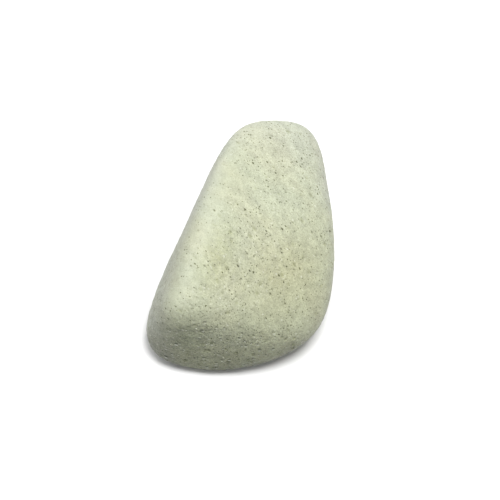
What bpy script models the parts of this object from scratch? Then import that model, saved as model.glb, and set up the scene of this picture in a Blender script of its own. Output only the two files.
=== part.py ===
"""A tumbled pebble of clinoptilolite, a pale grey-green zeolite rock.

The stone began as a broken lump with flat breaks. Tumbling wore the edges round and left
the faces nearly flat. The model keeps that history: every worn face has a compass bearing,
a slope and a distance from the stone's heart, and one power sets how far the edges between
the faces are worn. Shallow hollows and a slow unevenness come on top, and the underside is
level, so that the stone rests.

Metres, +Z up, +Y along the stone towards its narrow end, origin under the middle of the
bounding box, on the surface that the stone lies on.
"""

import math

import bmesh
import bpy
from mathutils import Vector, noise

MM = 0.001

# The heart is the point from which the faces are measured, at this height over the table.
HEART_HEIGHT = 5.85 * MM
# A high power keeps the edges between the faces crisp, a low one wears them to an egg.
EDGE_WEAR = 9.5

# Worn faces: the bearing that each one looks to (degrees from +X towards +Y), how steeply
# it looks up (90) or down (-90), and its distance from the heart in millimetres.
WORN_FACES = {
    "top": (21, 77, 9.3),
    "far brow": (136, 61, 15.4),
    "near brow": (-40, 66, 8.9),
    "right brow": (18, 56, 11.6),
    "near right brow": (-27, 52, 9.1),
    "left shoulder": (197, 46, 10.4),
    "left near flank": (195, 20, 11.6),
    "left flank": (178, 11, 8.4),
    "near left corner": (-138, 12, 14.4),
    "near end": (-81, 7, 12.9),
    "near right corner": (-56, 12, 12.4),
    "right side": (10, 3, 12.4),
    "right far side": (28, 4, 12.4),
    "far end": (112, 5, 18.4),
    "far left corner": (146, 10, 17.4),
    "left undercut": (182, -44, 10.7),
    "near left undercut": (-126, -46, 15.1),
    "near undercut": (-42, -49, 11.7),
    "near right undercut": (-10, -36, 11.8),
    "right undercut": (16, -38, 11.4),
    "far undercut": (114, -40, 16.5),
    "far left undercut": (159, -41, 12.5),
    "underside": (0, -90, 6.0),
}

# Hollows that the tumbling did not reach the bottom of: the bearing and slope of the middle,
# the width of the hollow and its depth, both in millimetres.
HOLLOWS = {
    "chip on the near end": (-98, 8, 7.0, 0.22),
    "dent by the near left corner": (-132, 24, 4.5, 0.16),
    "dent on the near brow": (-58, 46, 5.0, 0.14),
    "saddle on the top": (75, 66, 9.0, 0.16),
    "dip on the left flank": (178, 14, 7.0, 0.16),
    "chip on the right side": (22, -16, 6.0, 0.22),
    "dip behind the right side": (60, -6, 5.5, 0.22),
    "dent on the far end": (118, 6, 5.0, 0.20),
    "scar under the near end": (-66, -30, 5.5, 0.24),
    "scar under the left flank": (192, -34, 5.0, 0.20),
}

# A slow unevenness all over, from patches of harder and softer ash.
UNEVEN_HEIGHT = 0.11 * MM
UNEVEN_SPAN = 6.5 * MM

# Cells of the starting box, so that one cell of the skin is about a millimetre.
BOX_SIZE = Vector((22.0, 35.0, 15.0)) * MM
BOX_CELLS = (24, 38, 18)

STONE_COLOUR = (0.60, 0.62, 0.47, 1.0)
STONE_ROUGHNESS = 0.5


def looking(bearing, slope):
    """The unit vector towards a bearing and a slope, both in degrees."""
    turn = math.radians(bearing)
    rise = math.radians(slope)
    return Vector(
        (math.cos(rise) * math.cos(turn), math.cos(rise) * math.sin(turn), math.sin(rise))
    )


def worn_reach(ray, faces):
    """How far the worn faces let the stone reach from its heart along a unit ray."""
    total = sum(max(0.0, ray.dot(normal) / reach) ** EDGE_WEAR for normal, reach in faces)
    return total ** (-1 / EDGE_WEAR)


def hollow_depth(point, hollows):
    """How deep the hollows together cut at a point measured from the heart."""
    depth = 0.0
    for middle, width, deepest in hollows:
        spread = (point - middle).length / (width / 2)
        depth += deepest * math.exp(-spread * spread)
    return depth


def unevenness(point):
    """Slow rise and fall of the skin, as a height over the worn faces."""
    return UNEVEN_HEIGHT * noise.fractal(point / UNEVEN_SPAN, 1.0, 2.0, 2)


def gridded_box(bm):
    """A box whose sides are cut into cells of about the same size all round."""
    bmesh.ops.create_cube(bm, size=1.0)
    for axis, cells in enumerate(BOX_CELLS):
        along = [
            edge
            for edge in bm.edges
            if abs((edge.verts[0].co - edge.verts[1].co)[axis]) > 0.5
        ]
        bmesh.ops.subdivide_edges(bm, edges=along, cuts=cells - 1, use_grid_fill=True)
    bmesh.ops.scale(bm, vec=BOX_SIZE, verts=bm.verts)


def wear(bm):
    """Move each point of the box along its ray from the heart onto the worn stone."""
    faces = [
        (looking(bearing, slope), distance * MM)
        for bearing, slope, distance in WORN_FACES.values()
    ]
    hollows = []
    for bearing, slope, width, deepest in HOLLOWS.values():
        ray = looking(bearing, slope)
        hollows.append((ray * worn_reach(ray, faces), width * MM, deepest * MM))
    for vert in bm.verts:
        ray = vert.co.normalized()
        point = ray * worn_reach(ray, faces)
        point += ray * (unevenness(point) - hollow_depth(point, hollows))
        height = max(0.0, point.z + HEART_HEIGHT)
        vert.co = Vector((point.x, point.y, height))


def centre(bm):
    """Bring the middle of the bounding box over the origin."""
    xs = [vert.co.x for vert in bm.verts]
    ys = [vert.co.y for vert in bm.verts]
    middle = Vector(((min(xs) + max(xs)) / 2, (min(ys) + max(ys)) / 2, 0.0))
    bmesh.ops.translate(bm, verts=bm.verts, vec=-middle)


def stone_material():
    material = bpy.data.materials.new("clinoptilolite")
    material.use_nodes = True
    shader = material.node_tree.nodes["Principled BSDF"]
    shader.inputs["Base Color"].default_value = STONE_COLOUR
    shader.inputs["Roughness"].default_value = STONE_ROUGHNESS
    shader.inputs["Metallic"].default_value = 0.0
    return material


def make_stone(collection):
    bm = bmesh.new()
    gridded_box(bm)
    wear(bm)
    centre(bm)
    bmesh.ops.recalc_face_normals(bm, faces=bm.faces)
    mesh = bpy.data.meshes.new("clinoptilolite_stone")
    bm.to_mesh(mesh)
    bm.free()
    mesh.shade_smooth()
    mesh.materials.append(stone_material())
    stone = bpy.data.objects.new("clinoptilolite_stone", mesh)
    collection.objects.link(stone)


for leftover in list(bpy.data.objects):
    bpy.data.objects.remove(leftover, do_unlink=True)

parts = bpy.data.collections.new("clinoptilolite")
bpy.context.scene.collection.children.link(parts)
make_stone(parts)
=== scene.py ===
import math

import bmesh
import bpy
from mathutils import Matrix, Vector


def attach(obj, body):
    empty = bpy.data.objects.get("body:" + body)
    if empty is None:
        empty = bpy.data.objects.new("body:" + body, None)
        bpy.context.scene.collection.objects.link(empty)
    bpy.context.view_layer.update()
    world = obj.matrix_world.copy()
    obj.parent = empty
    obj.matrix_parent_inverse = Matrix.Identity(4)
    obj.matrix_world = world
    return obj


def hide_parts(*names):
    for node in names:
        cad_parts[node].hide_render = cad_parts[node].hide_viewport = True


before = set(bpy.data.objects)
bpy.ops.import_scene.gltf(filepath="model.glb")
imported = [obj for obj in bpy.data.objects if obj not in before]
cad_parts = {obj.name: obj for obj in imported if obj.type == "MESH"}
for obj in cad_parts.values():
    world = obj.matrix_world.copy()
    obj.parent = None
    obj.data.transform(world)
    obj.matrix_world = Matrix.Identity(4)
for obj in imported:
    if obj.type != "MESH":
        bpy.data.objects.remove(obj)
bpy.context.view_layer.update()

# The stone. One lump of clinoptilolite, an altered volcanic ash, broken from the bed and
# tumbled until its edges were round. Its skin is drawn over the solid core: first an even
# fine mesh, then the ripples, grain and small pits that the tumbling left.

MM = 0.001

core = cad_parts["clinoptilolite_stone"]


def merged_skin(solid, name):
    """A copy of a solid's surface in one piece, with four-sided faces where they fit."""
    skin = bpy.data.objects.new(name, solid.data.copy())
    skin.data.name = name
    skin.data.materials.clear()
    bpy.context.scene.collection.objects.link(skin)
    bm = bmesh.new()
    bm.from_mesh(skin.data)
    bmesh.ops.remove_doubles(bm, verts=bm.verts, dist=0.001 * MM)
    bmesh.ops.join_triangles(
        bm,
        faces=bm.faces,
        angle_face_threshold=math.radians(30),
        angle_shape_threshold=math.radians(40),
    )
    for face in bm.faces:
        face.smooth = True
    bm.to_mesh(skin.data)
    bm.free()
    return skin


def settle(piece):
    """Turn the piece's live modifiers into plain mesh."""
    view = bpy.context.evaluated_depsgraph_get()
    finished = bpy.data.meshes.new_from_object(piece.evaluated_get(view))
    piece.modifiers.clear()
    unworked, piece.data = piece.data, finished
    bpy.data.meshes.remove(unworked)
    finished.name = piece.name


# One cell of the skin. A finer one would pass 200,000 triangles.
SKIN_CELL = 0.164 * MM

stone = merged_skin(core, "stone_skin")

rounding = stone.modifiers.new("Rounding", "SUBSURF")
rounding.levels = 2
rounding.render_levels = 2
even = stone.modifiers.new("Even skin", "REMESH")
even.mode = "VOXEL"
even.voxel_size = SKIN_CELL
even.use_smooth_shade = True
easing = stone.modifiers.new("Easing", "SMOOTH")
easing.factor = 0.5
easing.iterations = 4
settle(stone)

# The ash settled in beds. Grains, pits and streaks are drawn out along them, at this bearing.
BEDDING = math.radians(-30)
BEDDING_STRETCH = 1.9

# The near end broke across the beds, so it is coarse. It faces this way, and the coarseness
# starts and is full at these distances out, in millimetres.
BROKEN_END = (0.28, -0.93, -0.25)
COARSE_FROM = 9.2
COARSE_FULL = 12.2

# The left shoulder was tumbled smooth: the middle, reach and soft edge of the smooth patch.
WORN_SHOULDER = ((-6.5, -6.0, 13.5), (4.5, 22.0, 7.0), 0.3)

# What the tumbling left: pits with a low lip where grains fell out, slow ripples, and grain.
WEAR_SIZES = {
    "Pit spacing": 0.95 * MM,
    "Pit radius": 0.32 * MM,
    "Pit depth": 0.10 * MM,
    "Lip height": 0.03 * MM,
    "Ripple span": 2.2 * MM,
    "Ripple height": 0.05 * MM,
    "Grain span": 0.55 * MM,
    "Grain height": 0.12 * MM,
}


def place(tree, kind, feeds=None, **settings):
    """A node in a tree, with its settings and with values or other sockets fed to it."""
    made = tree.nodes.new(kind)
    for name, value in settings.items():
        setattr(made, name, value)
    for socket, source in (feeds or {}).items():
        if isinstance(source, bpy.types.NodeSocket):
            tree.links.new(source, made.inputs[socket])
        else:
            made.inputs[socket].default_value = source
    return made


def math_of(tree, operation, *values):
    """A sum on numbers, worked out by one node."""
    made = place(tree, "ShaderNodeMath", dict(enumerate(values)), operation=operation)
    return made.outputs[0]


def vector_of(tree, operation, feeds):
    """A sum on places or directions, worked out by one node."""
    return place(tree, "ShaderNodeVectorMath", feeds, operation=operation).outputs


def eased(tree, value, low, high, start=0.0, end=1.0):
    """The value taken smoothly from start at low to end at high, and held beyond them."""
    feeds = {"Value": value, "From Min": low, "From Max": high, "To Min": start, "To Max": end}
    made = place(tree, "ShaderNodeMapRange", feeds, interpolation_type="SMOOTHSTEP")
    return made.outputs["Result"]


def noise(tree, where, per_metre, detail=2.0, roughness=0.5):
    """An even scatter of soft lumps, so many to the metre, around a middle of 0.5."""
    feeds = {"Vector": where, "Scale": per_metre, "Detail": detail, "Roughness": roughness}
    return place(tree, "ShaderNodeTexNoise", feeds).outputs[0]


def bedded(tree, where, shift=0.0):
    """Places in the rock, drawn out along the bedding, and shifted for a fresh scatter."""
    turned = place(
        tree,
        "ShaderNodeVectorRotate",
        {"Vector": where, "Angle": -BEDDING},
        rotation_type="Z_AXIS",
    )
    feeds = {0: turned.outputs[0], 1: (1 / BEDDING_STRETCH, 1, 1), 2: (shift, shift, shift)}
    return vector_of(tree, "MULTIPLY_ADD", feeds)[0]


def nearest_grain(tree, where, per_metre, radius):
    """How far the nearest grain's centre is, in its own radii, and that grain's three chances."""
    cells = place(tree, "ShaderNodeTexVoronoi", {"Vector": where, "Scale": per_metre})
    chances = place(tree, "ShaderNodeSeparateXYZ", {0: cells.outputs["Color"]}).outputs
    gap = math_of(tree, "DIVIDE", cells.outputs["Distance"], per_metre)
    size = math_of(tree, "MULTIPLY", eased(tree, chances[0], 0.0, 1.0, 0.3, 1.0), radius)
    return math_of(tree, "DIVIDE", gap, size), chances


def beyond(tree, where, direction, start, end):
    """A share of 0 up to start mm out along a direction, and of 1 from end mm."""
    out = vector_of(tree, "DOT_PRODUCT", {0: where, 1: direction})["Value"]
    return eased(tree, out, start * MM, end * MM)


def cloud(tree, where, centre, reach, edge=0.0):
    """A round patch with its centre and reach in mm: 1 in its middle and 0 from its reach on.

    The edge is the share of the reach out to which it stays 1.
    """
    spread = vector_of(tree, "ADD", {0: where, 1: tuple(-part * MM for part in centre)})[0]
    shrink = tuple(1 / (side * MM) for side in reach)
    shrunk = vector_of(tree, "MULTIPLY", {0: spread, 1: shrink})[0]
    away = vector_of(tree, "LENGTH", {0: shrunk})["Value"]
    return eased(tree, away, edge, 1.0, 1.0, 0.0)


def tumbled_skin():
    """The worn surface: slow ripples, grain, and pits with a low lip where grains fell out."""
    tree = bpy.data.node_groups.new("tumbled_skin", "GeometryNodeTree")
    sockets = tree.interface
    sockets.new_socket("Skin", in_out="INPUT", socket_type="NodeSocketGeometry")
    for name in WEAR_SIZES:
        sockets.new_socket(name, in_out="INPUT", socket_type="NodeSocketFloat")
    sockets.new_socket("Finish", in_out="INPUT", socket_type="NodeSocketMaterial")
    sockets.new_socket("Skin", in_out="OUTPUT", socket_type="NodeSocketGeometry")
    given = tree.nodes.new("NodeGroupInput").outputs
    where = tree.nodes.new("GeometryNodeInputPosition").outputs[0]
    along = bedded(tree, where)

    # Grain and pits are coarser on the broken end and finer on the worn shoulder.
    broken = beyond(tree, where, BROKEN_END, COARSE_FROM, COARSE_FULL)
    smooth = cloud(tree, where, *WORN_SHOULDER)
    coarse = math_of(tree, "MULTIPLY_ADD", broken, 1.2, 0.8)
    coarse = math_of(tree, "MULTIPLY_ADD", smooth, -0.55, coarse)

    # A pit's bowl goes out to its radius, and its lip is highest at 1.2 of it.
    pits_per_metre = math_of(tree, "DIVIDE", 1.0, given["Pit spacing"])
    away = nearest_grain(tree, along, pits_per_metre, given["Pit radius"])[0]
    pit = eased(tree, away, 0.1, 1.0, 1.0, 0.0)
    lip_inside = eased(tree, away, 0.8, 1.2)
    lip_outside = eased(tree, away, 1.2, 1.9, 1.0, 0.0)
    lip = math_of(tree, "MULTIPLY", lip_inside, lip_outside)

    ripples_per_metre = math_of(tree, "DIVIDE", 1.0, given["Ripple span"])
    ripple = noise(tree, where, ripples_per_metre, 0.0)
    ripple = math_of(tree, "SUBTRACT", ripple, 0.5)
    height = math_of(tree, "MULTIPLY", ripple, given["Ripple height"])
    height = math_of(tree, "MULTIPLY_ADD", lip, given["Lip height"], height)
    grains_per_metre = math_of(tree, "DIVIDE", 1.0, given["Grain span"])
    grain = noise(tree, along, grains_per_metre)
    grain = math_of(tree, "MULTIPLY", math_of(tree, "SUBTRACT", grain, 0.5), coarse)
    height = math_of(tree, "MULTIPLY_ADD", grain, given["Grain height"], height)
    sunk = math_of(tree, "MULTIPLY", math_of(tree, "MULTIPLY", pit, given["Pit depth"]), coarse)
    height = math_of(tree, "SUBTRACT", height, sunk)

    # The skin moves out by this height, and nothing goes below what the stone lies on.
    kept = place(
        tree,
        "GeometryNodeStoreNamedAttribute",
        {"Geometry": given["Skin"], "Name": "pit", "Value": pit},
        data_type="FLOAT",
        domain="POINT",
    )
    normal = tree.nodes.new("GeometryNodeInputNormal").outputs[0]
    push = vector_of(tree, "SCALE", {0: normal, "Scale": height})[0]
    worn = place(tree, "GeometryNodeSetPosition", {"Geometry": kept.outputs[0], "Offset": push})
    moved = place(tree, "ShaderNodeSeparateXYZ", {0: where}).outputs
    above = math_of(tree, "MAXIMUM", moved[2], 0.0)
    resting = place(tree, "ShaderNodeCombineXYZ", {0: moved[0], 1: moved[1], 2: above})
    flat = place(
        tree,
        "GeometryNodeSetPosition",
        {"Geometry": worn.outputs[0], "Position": resting.outputs[0]},
    )

    real = place(tree, "GeometryNodeRealizeInstances", {0: flat.outputs[0]})
    dressed = place(
        tree,
        "GeometryNodeSetMaterial",
        {"Geometry": real.outputs[0], "Material": given["Finish"]},
    )
    made = tree.nodes.new("NodeGroupOutput")
    tree.links.new(dressed.outputs[0], made.inputs["Skin"])
    return tree


# The rock's green-grey ash has buff clouds in it.
GREEN_GREY = (0.347, 0.368, 0.266, 1)
BUFF = (0.358, 0.370, 0.260, 1)
CLOUD_SPAN = 6.5 * MM

# Painted light by side: the way the side faces, where its tint starts and is full in millimetres
# out, and the tint. The left and right sides are painted darker and greyer, as shade and grazing
# reflection; the far end is painted a little paler and bluer, as a reflection; and the broken end
# is painted darker, as shade, and a little greener.
SIDE_SHADE_AND_REFLECTION = {
    "left": ((-0.97, -0.01, -0.25), 2.0, 5.8, (0.744, 0.742, 0.814, 1)),
    "right": ((0.86, -0.03, -0.51), 3.0, 5.7, (0.843, 0.837, 0.835, 1)),
    "far end": ((0.0, 1.0, 0.0), 3.8, 13.9, (1.021, 1.009, 1.100, 1)),
    "shaded broken end": (BROKEN_END, 7.9, 14.7, (0.560, 0.572, 0.516, 1)),
}

# Stains and painted light in patches: the middle and the reach of each in millimetres, and
# its tint. The warm and olive stains are the rock's own.
STAINS_AND_PAINTED_LIGHT = {
    "warm stain": ((4.6, -5.9, 11.0), (11.1, 11.8, 8.4), (0.921, 0.888, 0.783, 1)),
    "olive stain": ((-2.8, -8.5, 14.0), (3.0, 8.7, 4.6), (0.849, 0.855, 0.713, 1)),
    # Painted reflection: bluer along the left and right edges.
    "left edge reflection": ((-8.0, 1.5, 14.5), (3.2, 11.0, 5.0), (1.0, 1.0, 1.08, 1)),
    "right edge reflection": ((5.8, 8.8, 11.0), (2.4, 6.5, 4.5), (1.0, 1.0, 1.08, 1)),
    # Painted highlights: paler on the left shoulder and the corner below it.
    "shoulder highlight": ((-5.2, -8.4, 14.0), (1.6, 14.2, 5.4), (1.208, 1.201, 1.260, 1)),
    "corner highlight": ((-5.2, -14.2, 11.3), (4.3, 3.0, 3.5), (1.149, 1.168, 1.193, 1)),
    # Painted shade: darker on the near-left corner.
    "shaded corner": ((-3.8, -15.9, 7.8), (4.3, 4.2, 5.1), (0.732, 0.762, 0.730, 1)),
    "pale brow": ((3.0, -13.4, 6.9), (5.0, 4.0, 1.6), (1.14, 1.14, 1.14, 1)),
    # Painted shade: darker at the foot.
    "shaded foot": ((2.5, -14.5, 0.5), (8.0, 5.0, 4.6), (0.84, 0.84, 0.84, 1)),
}


def tinted(tree, under, over, share, blend="MULTIPLY"):
    """One colour laid over another by a share, multiplied or mixed."""
    feeds = {0: share, 6: under, 7: over}
    return place(tree, "ShaderNodeMix", feeds, data_type="RGBA", blend_type=blend).outputs[2]


def ash_stains_and_painted_light(tree, where, along):
    """The ash's colour with stains and painted light and shade, and each side's and patch's share
    by name.
    """
    clouds = eased(tree, noise(tree, along, 1 / CLOUD_SPAN, 3.0, 0.55), 0.40, 0.64)
    colour = tinted(tree, GREEN_GREY, BUFF, clouds, "MIX")
    shares = {}
    for name, (direction, start, end, tint) in SIDE_SHADE_AND_REFLECTION.items():
        shares[name] = beyond(tree, where, direction, start, end)
        colour = tinted(tree, colour, tint, shares[name])
    for name, (centre, reach, tint) in STAINS_AND_PAINTED_LIGHT.items():
        shares[name] = cloud(tree, where, centre, reach)
        colour = tinted(tree, colour, tint, shares[name])
    return colour, shares


# How wide the lumps of the finer patterns are.
MOTTLE_SPAN = 0.9 * MM
STREAK_SPAN = 1.5 * MM
GRIT_SPAN = 0.16 * MM


def mottled(tree, colour, where, along, broken, smooth):
    """The colour with mottling, streaks on the broken end, and fine grit."""
    mottle = noise(tree, along, 1 / MOTTLE_SPAN, 4.0, 0.65)
    mottle = eased(tree, mottle, 0.30, 0.70, 0.87, 1.11)
    share = math_of(tree, "MULTIPLY_ADD", smooth, -0.45, 1.0)
    colour = tinted(tree, colour, mottle, share)
    streaks = noise(tree, along, 1 / STREAK_SPAN, 1.0)
    streaks = eased(tree, streaks, 0.30, 0.70, 0.90, 1.10)
    colour = tinted(tree, colour, streaks, broken)
    grit = noise(tree, where, 1 / GRIT_SPAN, 1.0)
    grit = eased(tree, grit, 0.28, 0.72, 0.76, 1.24)
    share = math_of(tree, "MULTIPLY_ADD", broken, 0.18, 0.62)
    share = math_of(tree, "MULTIPLY_ADD", smooth, -0.30, share)
    return tinted(tree, colour, grit, share)


# Specks and crumbs have ragged edges, pushed about within this reach over this span.
RAGGED_SPAN = 0.22 * MM
RAGGED_REACH = 0.10 * MM

# Olive specks of hornblende and glass: spacing and radius in millimetres, darkness, and the
# shift that gives each size its own scatter.
SPECK_SIZES = (
    (0.21, 0.077, 0.62, 0.0100),
    (0.48, 0.120, 0.82, 0.0213),
    (1.10, 0.155, 0.50, 0.0531),
)
OLIVE = (0.13, 0.135, 0.0, 1)
DARKEST_SPECK = 0.95
CROWD_SPAN = 4.0 * MM

# Pale crumbs of feldspar.
CRUMB_SPACING = 0.42 * MM
CRUMB_RADIUS = 0.13 * MM
CRUMB_SHIFT = 0.0317
FELDSPAR = (0.60, 0.61, 0.51, 1)


def frayed(tree, where):
    """Places pushed about at random over a short span, which gives a grain a ragged edge."""
    feeds = {"Vector": where, "Scale": 1 / RAGGED_SPAN, "Detail": 0.0}
    stir = place(tree, "ShaderNodeTexNoise", feeds).outputs["Color"]
    middle = vector_of(tree, "SUBTRACT", {0: stir, 1: (0.5, 0.5, 0.5)})[0]
    return vector_of(tree, "MULTIPLY_ADD", {0: middle, 1: (RAGGED_REACH,) * 3, 2: where})[0]


def grain_face(tree, away, strength):
    """A grain's share of the colour: its strength in its middle, and 0 past its edge."""
    return math_of(tree, "MULTIPLY", eased(tree, away, 0.5, 1.1, 1.0, 0.0), strength)


def speckled(tree, colour, ragged, crowd):
    """The colour with its specks, and their share. The logarithm makes most of them faint."""
    specks = 0.0
    for spacing, radius, darkness, shift in SPECK_SIZES:
        scatter = bedded(tree, ragged, shift)
        away, chances = nearest_grain(tree, scatter, 1 / (spacing * MM), radius * MM)
        rare = math_of(tree, "LOGARITHM", chances[1], math.e)
        dark = math_of(tree, "MULTIPLY", math_of(tree, "MULTIPLY", rare, -darkness), crowd)
        speck = grain_face(tree, away, math_of(tree, "MINIMUM", dark, DARKEST_SPECK))
        colour = tinted(tree, colour, OLIVE, speck)
        specks = math_of(tree, "MAXIMUM", specks, speck)
    return colour, specks


def crumbed(tree, colour, ragged, broken, smooth):
    """The colour with its crumbs: more on the broken end, and fewer on the worn shoulder."""
    scatter = bedded(tree, ragged, CRUMB_SHIFT)
    away, chances = nearest_grain(tree, scatter, 1 / CRUMB_SPACING, CRUMB_RADIUS)
    pale = eased(tree, chances[1], 0.3, 1.0, 0.0, 0.38)
    pale = math_of(tree, "MULTIPLY", pale, math_of(tree, "MULTIPLY_ADD", broken, 0.5, 1.0))
    pale = math_of(tree, "MULTIPLY", pale, math_of(tree, "MULTIPLY_ADD", smooth, -0.6, 1.0))
    return tinted(tree, colour, FELDSPAR, grain_face(tree, away, pale), "MIX")


# Chips on the broken end are painted dark, for dirt and the shade inside them, and a painted
# highlight shows a drop below each, on its lower lip. The pits hold dirt.
CHIP_SPACING = 0.52 * MM
CHIP_RADIUS = 0.26 * MM
CHIP_SHIFT = 0.0431
CHIP_HIGHLIGHT_DROP = 0.22 * MM
CHIP_DIRT_AND_SHADE = (0.42, 0.45, 0.37, 1)
CHIP_LIP_HIGHLIGHT = (0.50, 0.51, 0.44, 1)
PIT_DIRT = (0.62, 0.63, 0.48, 1)


def chips(tree, where):
    """Shallow chips drawn out along the bedding: each one's share, from 0 outside to at most 1."""
    scatter = bedded(tree, where, CHIP_SHIFT)
    away, chances = nearest_grain(tree, scatter, 1 / CHIP_SPACING, CHIP_RADIUS)
    return math_of(tree, "MULTIPLY", eased(tree, away, 0.3, 0.9, 1.0, 0.0), chances[1])


def dirt_and_chip_shading(tree, colour, where, chip, broken, smooth):
    """The colour with dirt in its pits, dirt and painted shade in its chips, and painted
    highlights.
    """
    pit = place(tree, "ShaderNodeAttribute", attribute_name="pit").outputs["Fac"]
    pit = math_of(tree, "MULTIPLY", pit, math_of(tree, "MULTIPLY_ADD", smooth, -0.4, 0.8))
    colour = tinted(tree, colour, PIT_DIRT, pit)
    # Painted highlight: paler a drop below each chip, where its lower lip would catch the light.
    higher = vector_of(tree, "ADD", {0: where, 1: (0, 0, CHIP_HIGHLIGHT_DROP)})[0]
    lip = math_of(tree, "SUBTRACT", chips(tree, higher), chip)
    lip = math_of(tree, "MULTIPLY", math_of(tree, "MAXIMUM", lip, 0.0), broken)
    # Painted shade and dirt: darker in the chips.
    colour = tinted(tree, colour, CHIP_DIRT_AND_SHADE, math_of(tree, "MULTIPLY", chip, broken))
    return tinted(tree, colour, CHIP_LIP_HIGHLIGHT, math_of(tree, "MULTIPLY", lip, 0.85), "MIX")


# Relief too fine for the mesh: how wide its grains are, and how high a full one stands
# before the broken end deepens it.
RELIEF_SPAN = 0.34 * MM
RELIEF_HEIGHT = 0.14 * MM


def fine_relief(tree, along, chip, specks, broken, smooth):
    """The surface's direction, with grains a little proud and with chips and specks lying low."""
    relief = noise(tree, along, 1 / RELIEF_SPAN, 3.0, 0.65)
    relief = math_of(tree, "MULTIPLY_ADD", chip, -0.75, relief)
    relief = math_of(tree, "MULTIPLY_ADD", specks, -0.20, relief)

    # It is deepest on the broken end, and wear has smoothed it on the shoulder.
    deep = math_of(tree, "MULTIPLY_ADD", broken, 1.9, 0.50)
    deep = math_of(tree, "MULTIPLY_ADD", smooth, -0.25, deep)
    relief = math_of(tree, "MULTIPLY", relief, deep)
    feeds = {"Strength": 1.0, "Distance": RELIEF_HEIGHT, "Height": relief}
    return place(tree, "ShaderNodeBump", feeds).outputs[0]


# How wide the glossier and the duller places are.
SATIN_SPAN = 0.6 * MM


def ashy_rock():
    """The stone's finish: ash with stains, painted light and shade, grit, specks, crumbs, dirt,
    satin wear.
    """
    material = bpy.data.materials.new("ashy_rock")
    material.use_nodes = True
    tree = material.node_tree
    where = place(tree, "ShaderNodeTexCoord").outputs["Object"]
    along = bedded(tree, where)
    broken = beyond(tree, where, BROKEN_END, COARSE_FROM, COARSE_FULL)
    smooth = cloud(tree, where, *WORN_SHOULDER)

    # Stains, with painted shade, highlights and reflections by side and by patch.
    colour, tint_shares = ash_stains_and_painted_light(tree, where, along)
    colour = mottled(tree, colour, where, along, broken, smooth)

    # Specks crowd together in places, most of all on the warm stain and the right side.
    crowd = eased(tree, noise(tree, where, 1 / CROWD_SPAN, 2.0), 0.35, 0.68, 0.7, 1.45)
    for share, more in (
        (tint_shares["warm stain"], 0.35),
        (smooth, -0.80),
        (tint_shares["far end"], 0.15),
        (tint_shares["right"], 0.35),
        (broken, 0.25),
    ):
        crowd = math_of(tree, "MULTIPLY_ADD", share, more, crowd)
    ragged = frayed(tree, where)
    colour, specks = speckled(tree, colour, ragged, crowd)
    colour = crumbed(tree, colour, ragged, broken, smooth)

    chip = chips(tree, where)
    colour = dirt_and_chip_shading(tree, colour, where, chip, broken, smooth)
    satin = eased(tree, noise(tree, where, 1 / SATIN_SPAN, 3.0), 0.3, 0.7, 0.46, 0.58)
    normal = fine_relief(tree, along, chip, specks, broken, smooth)

    skin = tree.nodes["Principled BSDF"].inputs
    tree.links.new(colour, skin["Base Color"])
    tree.links.new(satin, skin["Roughness"])
    tree.links.new(normal, skin["Normal"])
    return material


wear = stone.modifiers.new("Tumbled skin", "NODES")
wear.node_group = tumbled_skin()
for socket in wear.node_group.interface.items_tree:
    if socket.name in WEAR_SIZES:
        wear[socket.identifier] = WEAR_SIZES[socket.name]
    elif socket.name == "Finish":
        wear[socket.identifier] = ashy_rock()
settle(stone)

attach(stone, "root")
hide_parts("clinoptilolite_stone")

# The table. A plain white board, painted matt, which the stone lies loose on. It stands for
# whatever carries the stone and isn't part of it.

BOARD_HALF_SIDE = 0.6
MATT_WHITE = (0.71, 0.71, 0.71, 1)

board = bpy.data.objects.new("table_board", bpy.data.meshes.new("table_board"))
bpy.context.scene.collection.objects.link(board)
bm = bmesh.new()
bmesh.ops.create_grid(bm, x_segments=1, y_segments=1, size=BOARD_HALF_SIDE)
bm.to_mesh(board.data)
bm.free()
white = bpy.data.materials.new("white_board")
white.use_nodes = True
sheet = white.node_tree.nodes["Principled BSDF"].inputs
sheet["Base Color"].default_value = MATT_WHITE
sheet["Roughness"].default_value = 0.7
board.data.materials.append(white)

# The camera. It stands past the stone's near end, a little round to the right, and looks
# down on it through a long lens. It aims at this point, from so many millimetres off.

AIM = Vector((-1.182, -0.645, 5.99))
DISTANCE = 220
TURN = math.radians(20)
RISE = math.radians(58)

camera = bpy.data.objects.new("camera", bpy.data.cameras.new("camera"))
bpy.context.scene.collection.objects.link(camera)
back = Vector((math.sin(TURN) * math.cos(RISE), -math.cos(TURN) * math.cos(RISE), math.sin(RISE)))
camera.location = AIM * MM + back * DISTANCE * MM
camera.rotation_euler = (math.radians(90) - RISE, 0, TURN)
camera.data.lens = 126.72
camera.data.sensor_width = 36
camera.data.clip_start = 0.01
bpy.context.scene.camera = camera

# The lights. Round softboxes at one distance: the strongest is nearly overhead, and weaker
# ones in front, beside and behind bring out the stone's sides.

LIGHT_DISTANCE = 0.5


def soft_light(name, size, watts, bearing, slope):
    """A round softbox at a bearing from +X and a slope above the table, turned to the stone."""
    lamp = bpy.data.objects.new(name, bpy.data.lights.new(name, "AREA"))
    bpy.context.scene.collection.objects.link(lamp)
    lamp.data.shape = "DISK"
    lamp.data.size = size
    lamp.data.energy = watts
    turn = math.radians(bearing)
    rise = math.radians(slope)
    level = math.cos(rise)
    towards = Vector((level * math.cos(turn), level * math.sin(turn), math.sin(rise)))
    lamp.location = towards * LIGHT_DISTANCE
    lamp.rotation_euler = (-towards).to_track_quat("-Z", "Y").to_euler()


soft_light("overhead", 0.20, 3.15, 345, 79)
soft_light("front_fill", 0.35, 0.75, 272, 58)
soft_light("back_left_window", 0.28, 1.05, 130, 28)
soft_light("left_screen", 0.28, 0.84, 165, 20)
soft_light("back_screen", 0.45, 0.64, 80, 18)
soft_light("right_screen", 0.30, 0.47, 30, 20)

bpy.context.scene.view_settings.view_transform = "Standard"
